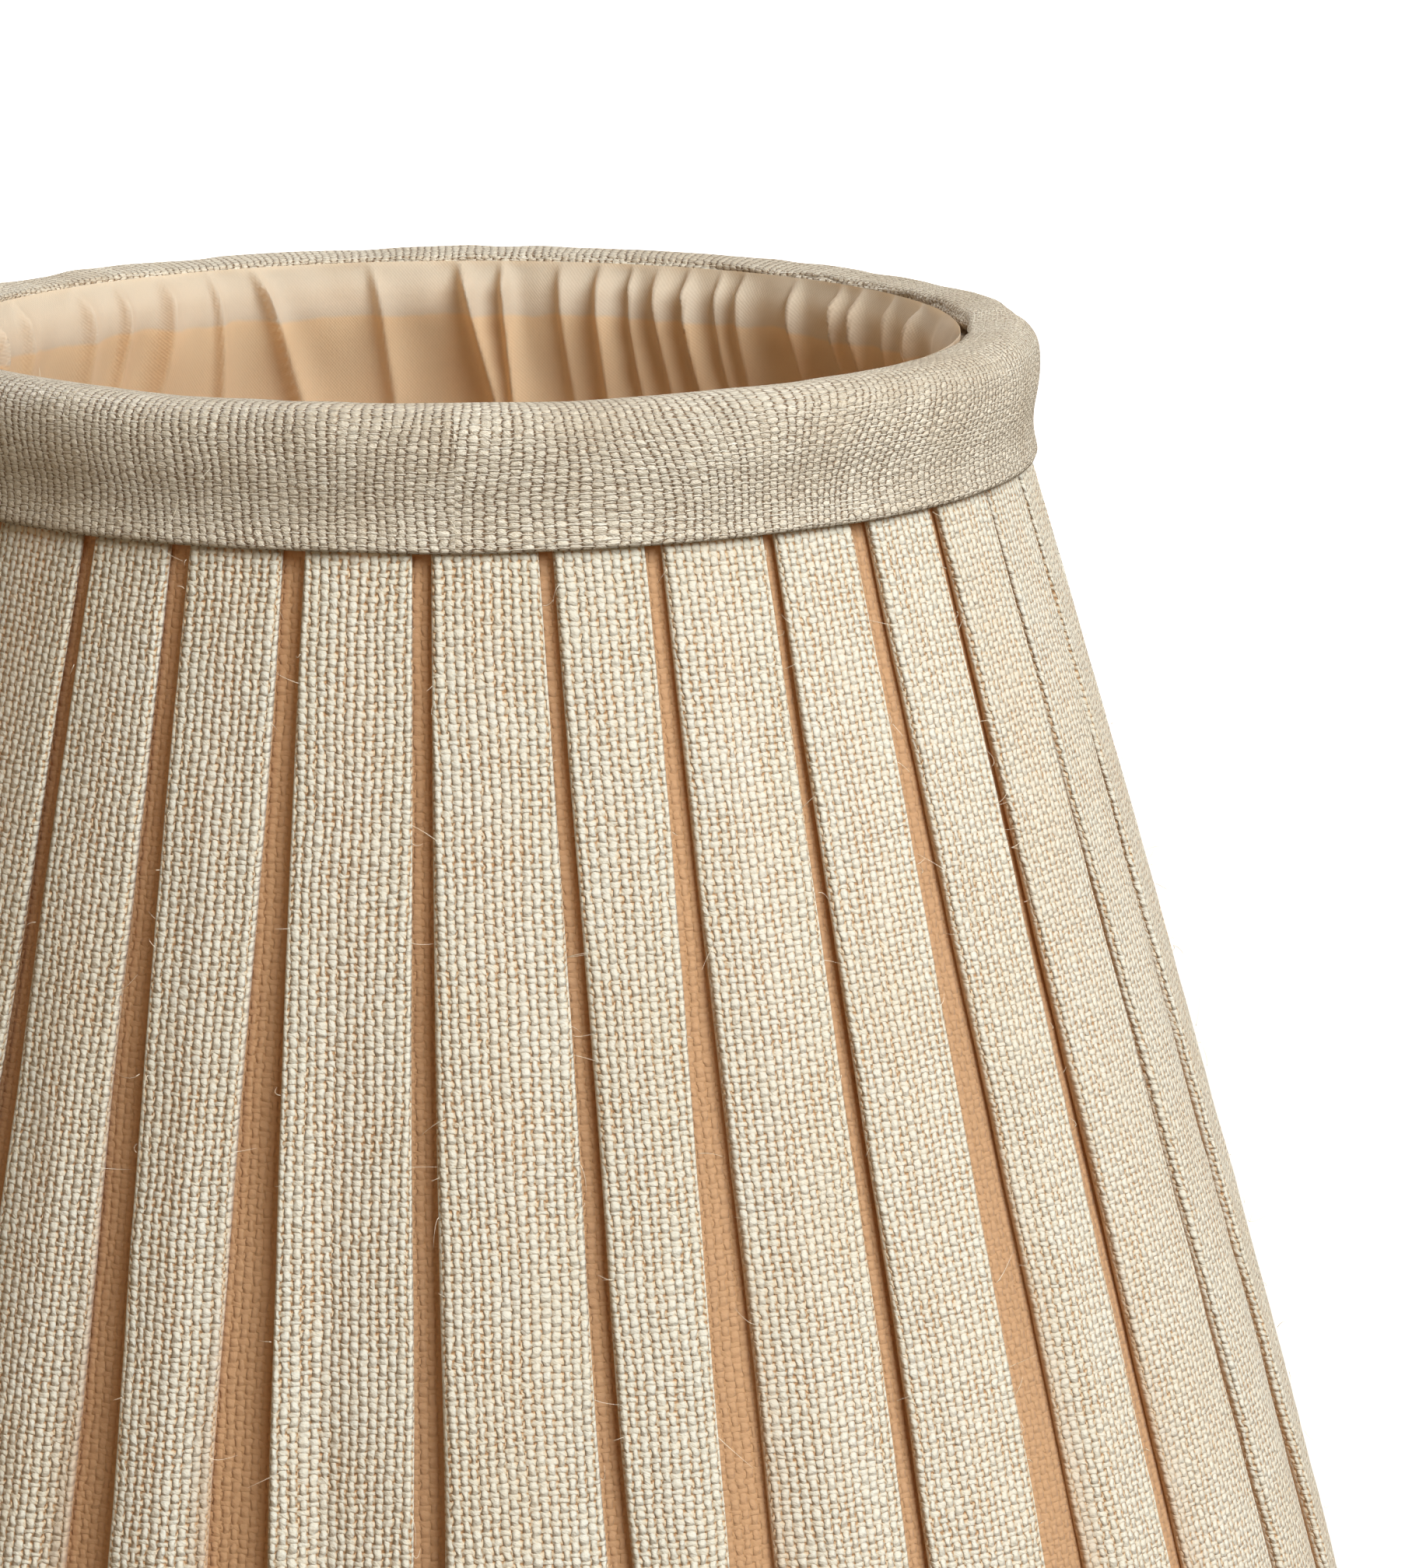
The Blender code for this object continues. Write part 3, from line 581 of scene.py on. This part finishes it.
def liningCloth():
    # thin plain cloth: paler in a band just under the rim, warm and darker below that band
    material, n, shader = newMaterial("liningVoile")
    place = n.node("ShaderNodeUVMap", uv_map="weave")
    part = n.node("ShaderNodeSeparateXYZ")
    n.wire(place.outputs[0], part.inputs[0])
    u, v = part.outputs[0], part.outputs[1]
    edge = n.noise(n.vector(n.math("MULTIPLY", u, 90.0), 0.0), 1.0, 3.0)
    line = n.math("ADD", v, n.math("MULTIPLY", n.math("SUBTRACT", edge, 0.5), 0.003))
    belowBand = n.remap(line, 0.0066, 0.0072)
    cloudy = n.noise(n.vector(n.math("MULTIPLY", u, 160.0), n.math("MULTIPLY", v, 90.0)), 1.0, 3.0)
    base = n.mix(belowBand, (0.76, 0.70, 0.58), (0.92, 0.71, 0.46))
    base = n.mix(n.math("MULTIPLY", n.remap(cloudy, 0.35, 0.7), 0.18), base, (0.74, 0.62, 0.45))
    threadsU = n.math("SINE", n.math("MULTIPLY", u, 2 * math.pi / 0.00036))
    threadsV = n.math("SINE", n.math("MULTIPLY", v, 2 * math.pi / 0.00042))
    weave = n.math("MULTIPLY", n.math("MULTIPLY", threadsU, threadsV), 0.5)
    fine = n.noise(n.vector(n.math("MULTIPLY", u, 2500.0), n.math("MULTIPLY", v, 1500.0)), 1.0, 2.0)
    relief = n.math("ADD", n.math("MULTIPLY", weave, 0.6), fine)
    base = n.mix(n.math("MULTIPLY", n.remap(relief, 0.1, 1.2), 0.14), base, (0.74, 0.66, 0.52))
    bump = n.node("ShaderNodeBump")
    bump.inputs["Strength"].default_value = 0.5
    bump.inputs["Distance"].default_value = 0.00008
    n.wire(relief, bump.inputs["Height"])
    n.wire(bump.outputs[0], shader.inputs["Normal"])
    n.wire(base, shader.inputs["Base Color"])
    shader.inputs["Roughness"].default_value = 0.62
    shader.inputs["Sheen Weight"].default_value = 0.15
    shader.inputs["Specular IOR Level"].default_value = 0.35
    through = n.node("ShaderNodeBsdfTranslucent")
    n.wire(n.mix(0.6, base, (1.0, 0.60, 0.26)), through.inputs["Color"])
    blend = n.node("ShaderNodeMixShader")
    blend.inputs[0].default_value = 0.42
    n.wire(shader.outputs[0], blend.inputs[1])
    n.wire(through.outputs[0], blend.inputs[2])
    n.wire(blend.outputs[0], n.tree.nodes["Material Output"].inputs["Surface"])
    return material


lining = dict(
    columns=1080, rows=90, topRadius=0.0531,
    # folds seen past the front rim: degrees under the rim, degrees 15 mm lower, height and half width in mm
    folds=[(232.0, 229.5, 1.3, 2.6), (218.0, 219.0, 2.0, 3.4), (206.0, 198.5, 1.7, 1.5),
           (179.5, 174.8, 2.4, 1.7), (174.0, 172.4, 1.9, 1.3), (161.3, 160.5, 1.7, 1.8),
           (153.5, 151.8, 1.4, 1.5), (149.4, 147.6, 1.6, 1.2), (141.4, 141.0, 1.1, 1.5),
           (133.0, 132.0, 1.2, 1.3), (144.9, 144.0, 0.9, 0.9), (157.2, 156.0, 1.2, 1.1),
           (166.5, 165.0, 1.0, 1.6), (190.5, 187.0, 1.1, 1.5), (211.5, 209.0, 1.0, 1.2),
           (225.5, 224.5, 1.2, 1.6), (114.0, 113.5, 1.1, 1.2), (125.5, 122.6, 1.6, 1.3),
           (121.2, 118.9, 1.4, 1.1), (106.5, 105.0, 1.5, 1.5)])


def liningRadius(down):
    # the lining's cone at a distance down from the rim's crest, without its gathers
    cone = lining["topRadius"] + pleats["slope"] * np.maximum(down - 0.0062, 0)
    return cone + 0.0009 * smooth(down, 0.006, 0.020)


def buildLining():
    # a cone inside the ribs, with gathers: each fold is a ridge exp(-(across / width) ^ 1.3), narrower on one
    # side, that leans over as it runs down
    rng = np.random.default_rng(41)
    folds = list(lining["folds"])
    at = 94.0
    while at > -118:
        if min(abs(at - 90), abs(at + 90)) > 12:                   # the arms pass through at 90 and -90
            folds.append((at, at - rng.uniform(-4, 4), rng.uniform(0.9, 2.2), rng.uniform(1.3, 2.8)))
        at -= rng.uniform(8.0, 17.0)
    down = 0.0009 + 0.1705 * np.linspace(0, 1, lining["rows"])[:, None] ** 1.5
    angle = np.linspace(0, 2 * math.pi, lining["columns"] + 1)[None, :]
    base = liningRadius(down) - 0.0012 * smooth(down, 0.0005, 0.0045)
    inward = 0 * base * angle
    degrees = np.degrees(angle)
    for top, low, height, width in folds:
        centre = top + (low - top) * np.minimum(down / 0.0175, 1 + (down - 0.0175) / 0.5)
        away = (degrees - centre + 180) % 360 - 180
        across = np.radians(away) * base * 1000
        spread = width * (0.55 + 0.6 * smooth(down, 0.001, 0.02) + 0.8 * smooth(down, 0.03, 0.15))
        side = np.where(across > 0, 0.45, 1.25)
        ridge = np.exp(-(np.abs(across) / (spread * side)) ** 1.3)
        fade = smooth(down, 0.0006, 0.0035) * (1 - 0.55 * smooth(down, 0.05, 0.12))
        fade = fade * (1 - smooth(down, 0.155, 0.1705))
        inward = inward + height * 0.00125 * ridge * fade
    arcs = angle * 0.053 + 0 * down
    downGrid = down + 0 * angle
    pucker = softNoise(43, arcs, downGrid * 3, 2 * math.pi * 0.053 / 96, 0.02, period=96)
    billow = softNoise(44, arcs, downGrid, 2 * math.pi * 0.053 / 34, 0.03, period=34)
    inward = inward + 0.00045 * pucker * smooth(down, 0.0005, 0.002) * (1 - 0.75 * smooth(down, 0.004, 0.014))
    inward = inward + 0.0006 * billow * smooth(down, 0.002, 0.012) * (1 - smooth(down, 0.150, 0.1705))
    points = around(base - inward, angle + 0 * down, rimTop - down)
    uv = np.stack([arcs, downGrid], -1)
    piece = gridPiece("lining_cloth", points[:, :-1], uv, voileCloth, closed=True, flip=False)
    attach(piece, "shade")
    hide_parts("lining")


voileCloth = liningCloth()
buildLining()
print("lining built")


# half the strip's width where it is folded, the loop's radius, the height its tails reach, how far it stands
# off the lining, and half its thickness
neatener = dict(halfWidth=0.0024, turn=0.0040, top=0.1680, clear=0.0018, thick=0.00045, cutWidth=0.0102)


def buildNeatener(name, node, side):
    # a folded strip of lining cloth slung under the arm, both tails running up to the rim: a flat oval
    # section carried along a U that lies on the lining's cone; side is the angle of the arm
    low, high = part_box(node)
    armZ = low[2] + 0.006
    leg = np.linspace(neatener["top"], armZ, 22)[:-1]
    bend = np.linspace(0, math.pi, 25)
    loop = neatener["turn"]
    y = np.concatenate([0 * leg - loop, -loop * np.cos(bend), 0 * leg + loop])
    z = np.concatenate([leg, armZ - loop * np.sin(bend), leg[::-1]])
    lean = smooth(z, armZ + 0.002, neatener["top"])               # the tails close up towards the rim
    y = y * (1 - 0.30 * lean)
    along = np.stack([np.gradient(y), np.gradient(z)], -1)
    along /= np.linalg.norm(along, axis=-1, keepdims=True)
    section = np.linspace(0, 2 * math.pi, 17)[None, :]
    q = np.cos(section) * neatener["halfWidth"] * (1 + 0.08 * np.sin(np.arange(len(y)) * 0.9)[:, None])
    closing = np.clip(np.minimum(np.arange(len(y)), np.arange(len(y))[::-1]) / 2, 0.12, 1)[:, None]
    bulk = np.sin(section) * neatener["thick"] * closing
    yy = y[:, None] - along[:, 1:] * q
    zz = z[:, None] + along[:, :1] * q
    down = rimTop - zz
    radius = liningRadius(down) - 0.0012 - neatener["clear"] + bulk
    points = around(radius, math.radians(side) + yy / radius, zz)
    run = np.concatenate([[0], np.cumsum(np.hypot(np.diff(y), np.diff(z)))])
    uv = np.stack([run[:, None] + 0 * q, 0.02 + section * neatener["halfWidth"] / 2 + 0 * run[:, None]], -1)
    piece = gridPiece(name, points[:, :-1], uv, voileCloth, closed=True)
    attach(piece, "shade")
    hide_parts(node)


buildNeatener("neatener_right", "arm_neatener_right", 90)
buildNeatener("neatener_left", "arm_neatener_left", 270)
print("neateners built")


# low is a painted shade colour for the weave's low parts; the painted shade in the hollows comes from the
# binding's look
tapeLook = dict(
    bindingLook, light=(0.80, 0.76, 0.68), lightWeft=(0.84, 0.80, 0.72), dull=(0.70, 0.65, 0.56),
    low=(0.56, 0.50, 0.42), depth=0.00016, thinWeft=0.7, thickWeft=1.0)
tapeCloth = wovenCloth("cottonTape", tapeLook)
tape = dict(wrapPitch=0.0062, radius=0.00172, ridge=0.00016, width=0.012, threadPitch=0.0005)


def buildTape(name, node, ring, columns):
    # a tape wound round the wire: a tube whose radius steps up a little once in every turn of the winding
    low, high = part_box(ring)
    wire = (high[2] - low[2]) / 2
    ringRadius, z = high[0] - wire, (high[2] + low[2]) / 2
    wraps = round(2 * math.pi * ringRadius / tape["wrapPitch"])
    turn = np.linspace(0, 2 * math.pi, columns + 1)[None, :]
    roll = np.linspace(0, 2 * math.pi, 13)[:, None]
    step = np.mod(turn * wraps / (2 * math.pi) + roll / (2 * math.pi), 1.0)
    r = tape["radius"] + tape["ridge"] * step * (1 - smooth(step, 0.9, 1.0))
    points = around(ringRadius + r * np.cos(roll), turn + 0 * roll, z + r * np.sin(roll))
    uv = np.stack([turn * ringRadius + 0 * roll, roll * tape["radius"] + 0 * turn], -1) / tape["threadPitch"]
    piece = gridPiece(name, points[:-1, :-1], uv, tapeCloth, closed=True, loop=True)
    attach(piece, "shade")
    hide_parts(node)


buildTape("tape_top", "top_ring_tape", "top_ring", 480)
buildTape("tape_bottom", "bottom_ring_tape", "bottom_ring", 900)
print("tapes built")


strays = dict(count=1300, thick=0.000034, long=0.0024, seed=77)


def fibreMaterial():
    # one pale linen colour that drifts a little from fibre to fibre
    material, n, shader = newMaterial("strayFibre")
    place = n.node("ShaderNodeTexCoord").outputs["Object"]
    n.wire(n.mix(n.noise(place, 400.0), (0.86, 0.76, 0.58), (0.96, 0.92, 0.82)), shader.inputs["Base Color"])
    shader.inputs["Roughness"].default_value = 0.6
    return material


def buildStrays():
    # stray fibres: short bent threads, each a three-sided tube on the curve start + t*heading + t*t*bend
    rng = np.random.default_rng(strays["seed"])
    count, steps = strays["count"], 7
    down, centre, halfAngle, face = coverCrests
    row = rng.integers(8, len(down) - 6, count)
    gap = rng.integers(0, pleats["count"], count)
    side = rng.choice([-1.0, 1.0], count)
    angle = centre[row, gap] + side * halfAngle[row, gap] + side * rng.exponential(0.006, count)
    radius = face[row] + 0.0003
    down = down[row]
    onRim = np.arange(count) < count // 8                         # some stand on the binding
    angle = np.where(onRim, rng.uniform(0, 2 * math.pi, count), angle)
    down = np.where(onRim, rng.uniform(0.001, 0.012, count), down)
    radius = np.where(onRim, 0.0610, radius)
    start = around(radius, angle, rimTop - down)
    out = np.stack([np.sin(angle), -np.cos(angle), 0 * angle], -1)
    sideways = np.stack([np.cos(angle), np.sin(angle), 0 * angle], -1)
    up = np.array([0, 0, 1.0])
    spread = rng.normal(0, 1, (count, 3))
    outward = rng.uniform(0.15, 0.6, count)[:, None]
    across = (-side * rng.uniform(0.2, 1.0, count))[:, None]
    heading = out * outward + sideways * across + up * spread[:, :1] * 0.7
    heading /= np.linalg.norm(heading, axis=-1, keepdims=True)
    bend = rng.normal(0, 0.6, (count, 3)) - out * 0.35
    length = strays["long"] * rng.uniform(0.35, 1.0, count) ** 1.5
    length = length * np.where(rng.random(count) > 0.93, 2.2, 1.0)
    t = np.linspace(0, 1, steps)[None, :, None]
    curve = start[:, None] + length[:, None, None] * (heading[:, None] * t + bend[:, None] * t ** 2)
    tangent = np.gradient(curve, axis=1)
    tangent /= np.linalg.norm(tangent, axis=-1, keepdims=True)
    sideVector = np.cross(tangent, up + 0.01)
    sideVector /= np.linalg.norm(sideVector, axis=-1, keepdims=True) + 1e-9
    third = np.cross(tangent, sideVector)
    turn = np.array([0, 2 * math.pi / 3, 4 * math.pi / 3])[None, None, :, None]
    thin = strays["thick"] * (1 - 0.7 * t[..., None])
    ring = np.cos(turn) * sideVector[:, :, None] + np.sin(turn) * third[:, :, None]
    points = curve[:, :, None] + thin * ring
    index = np.arange(count * steps * 3).reshape(count, steps, 3)
    wrapped = np.concatenate([index, index[..., :1]], -1)
    near, far = wrapped[:, :-1], wrapped[:, 1:]
    quads = np.stack([near[..., :-1], near[..., 1:], far[..., 1:], far[..., :-1]], -1).reshape(-1, 4)
    ends = np.concatenate([index[:, 0, ::-1], index[:, -1]], 0)
    mesh = bpy.data.meshes.new("stray_fibres")
    mesh.from_pydata(points.reshape(-1, 3).tolist(), [], quads.tolist() + ends.tolist())
    mesh.shade_smooth()
    mesh.materials.append(fibreMaterial())
    piece = bpy.data.objects.new("stray_fibres", mesh)
    bpy.context.scene.collection.objects.link(piece)
    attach(piece, "shade")


buildStrays()
print("stray fibres built")


def plainMetal(name, colour, rough, metallic, grain):
    # a coated or plated surface: broad patches up to 28% darker, and fine mottling in gloss and relief
    material, n, shader = newMaterial(name)
    place = n.node("ShaderNodeTexCoord").outputs["Object"]
    mottled = n.noise(place, 900.0, 3.0)
    broad = n.noise(place, 70.0, 2.0)
    darker = tuple(0.72 * c for c in colour)
    n.wire(n.mix(n.math("MULTIPLY", broad, grain), colour, darker), shader.inputs["Base Color"])
    n.wire(n.remap(mottled, 0.3, 0.7, rough * 0.8, rough * 1.25), shader.inputs["Roughness"])
    shader.inputs["Metallic"].default_value = metallic
    bump = n.node("ShaderNodeBump")
    bump.inputs["Strength"].default_value = 0.25
    bump.inputs["Distance"].default_value = 0.00003
    n.wire(mottled, bump.inputs["Height"])
    n.wire(bump.outputs[0], shader.inputs["Normal"])
    return material


coatedWire = plainMetal("coatedWire", (0.84, 0.83, 0.80), 0.38, 0.0, 0.2)
zincPlate = plainMetal("zincPlate", (0.70, 0.69, 0.66), 0.30, 1.0, 0.5)
for name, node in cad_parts.items():
    if name.startswith("rib_") or name in ("top_ring", "bottom_ring"):
        node.data.materials[0] = coatedWire
    elif name.startswith(("fitter_", "pivot_")):
        node.data.materials[0] = zincPlate


stage = dict(radius=4.0, level=-0.0002, glowFrom=0.3, glowFull=1.2)


def paleStage():
    # a pale round floor that grows brighter far from the shade, under a plain white dome; neither lights the
    # shade, and the floor's underside lets a view from below through
    material, n, shader = newMaterial("paleFloor")
    shader.inputs["Base Color"].default_value = (0.93, 0.93, 0.93, 1)
    shader.inputs["Roughness"].default_value = 0.9
    shader.inputs["Emission Color"].default_value = (1, 1, 1, 1)
    away = n.node("ShaderNodeVectorMath", operation="LENGTH")
    n.wire(n.node("ShaderNodeTexCoord").outputs["Object"], away.inputs[0])
    glow = n.remap(away.outputs["Value"], stage["glowFrom"], stage["glowFull"])
    n.wire(glow, shader.inputs["Emission Strength"])
    under = n.node("ShaderNodeMixShader")
    n.wire(n.node("ShaderNodeNewGeometry").outputs["Backfacing"], under.inputs[0])
    n.wire(shader.outputs[0], under.inputs[1])
    n.wire(n.node("ShaderNodeBsdfTransparent").outputs[0], under.inputs[2])
    n.wire(under.outputs[0], n.tree.nodes["Material Output"].inputs["Surface"])
    dome, _, domeShader = newMaterial("paleDome")
    domeShader.inputs["Base Color"].default_value = (0, 0, 0, 1)
    domeShader.inputs["Emission Color"].default_value = (1, 1, 1, 1)
    domeShader.inputs["Emission Strength"].default_value = 1.0
    turn = np.linspace(0, 2 * math.pi, 65)[None, :-1]
    rise = np.linspace(0, 1.565, 13)[:, None]
    size, level = stage["radius"], stage["level"]
    flat = np.array([[0.0001], [size]])
    floor = around(flat + 0 * turn, turn + 0 * flat, level)
    sky = around(size * np.cos(rise) + 0 * turn, turn + 0 * rise, level + size * np.sin(rise))
    for name, surface, points in (("studio_floor", material, floor), ("studio_dome", dome, sky)):
        piece = gridPiece(name, points, np.zeros((len(points), 65, 2)), surface, closed=True,
                          flip=name == "studio_floor")
        piece.visible_diffuse = False
        piece.visible_glossy = False
        piece.visible_transmission = False
        piece.visible_shadow = False


def softLight(name, azimuth, elevation, distance, size, watts, colour):
    # a round soft light aimed at the shade's middle; azimuth 0 is the front and grows towards +X
    data = bpy.data.lights.new(name, "AREA")
    data.shape = "DISK"
    data.size = size
    data.energy = watts
    data.color = colour
    light = bpy.data.objects.new(name, data)
    a, e = math.radians(azimuth), math.radians(elevation)
    aim = Vector((0, 0, 0.12))
    toLight = Vector((math.sin(a) * math.cos(e), -math.cos(a) * math.cos(e), math.sin(e)))
    light.location = aim + distance * toLight
    light.rotation_euler = (aim - light.location).to_track_quat("-Z", "Y").to_euler()
    bpy.context.scene.collection.objects.link(light)


paleStage()
softLight("key", 42, 38, 1.6, 1.3, 38, (0.98, 1.0, 0.99))
softLight("side", 112, 24, 1.8, 0.8, 7, (1.0, 0.98, 0.94))
softLight("fill", -30, 12, 2.0, 0.9, 3, (1.0, 0.82, 0.62))
softLight("back", -150, 30, 2.0, 0.9, 18, (1.0, 0.98, 0.95))
world = bpy.data.worlds.new("studio")
world.use_nodes = True
background = world.node_tree.nodes["Background"]
background.inputs["Color"].default_value = (1.0, 0.73, 0.44, 1)
background.inputs["Strength"].default_value = 0.22
bpy.context.scene.world = world
bpy.context.scene.view_settings.view_transform = "Standard"

# distance in front of the axis and height above the rim in metres, then angles in degrees
view = dict(lens=117.14, away=0.5317, above=0.0752, yaw=2.90, pitch=13.28)
cameraData = bpy.data.cameras.new("camera")
cameraData.lens = view["lens"]
cameraData.sensor_width = 36
camera = bpy.data.objects.new("camera", cameraData)
camera.location = (0, -view["away"], rimTop + view["above"])
yaw, pitch = math.radians(view["yaw"]), math.radians(view["pitch"])
forward = Vector((math.sin(yaw) * math.cos(pitch), math.cos(yaw) * math.cos(pitch), -math.sin(pitch)))
camera.rotation_euler = forward.to_track_quat("-Z", "Y").to_euler()
cameraData.clip_start = 0.01
bpy.context.scene.collection.objects.link(camera)
bpy.context.scene.camera = camera
print("stage and camera ready")
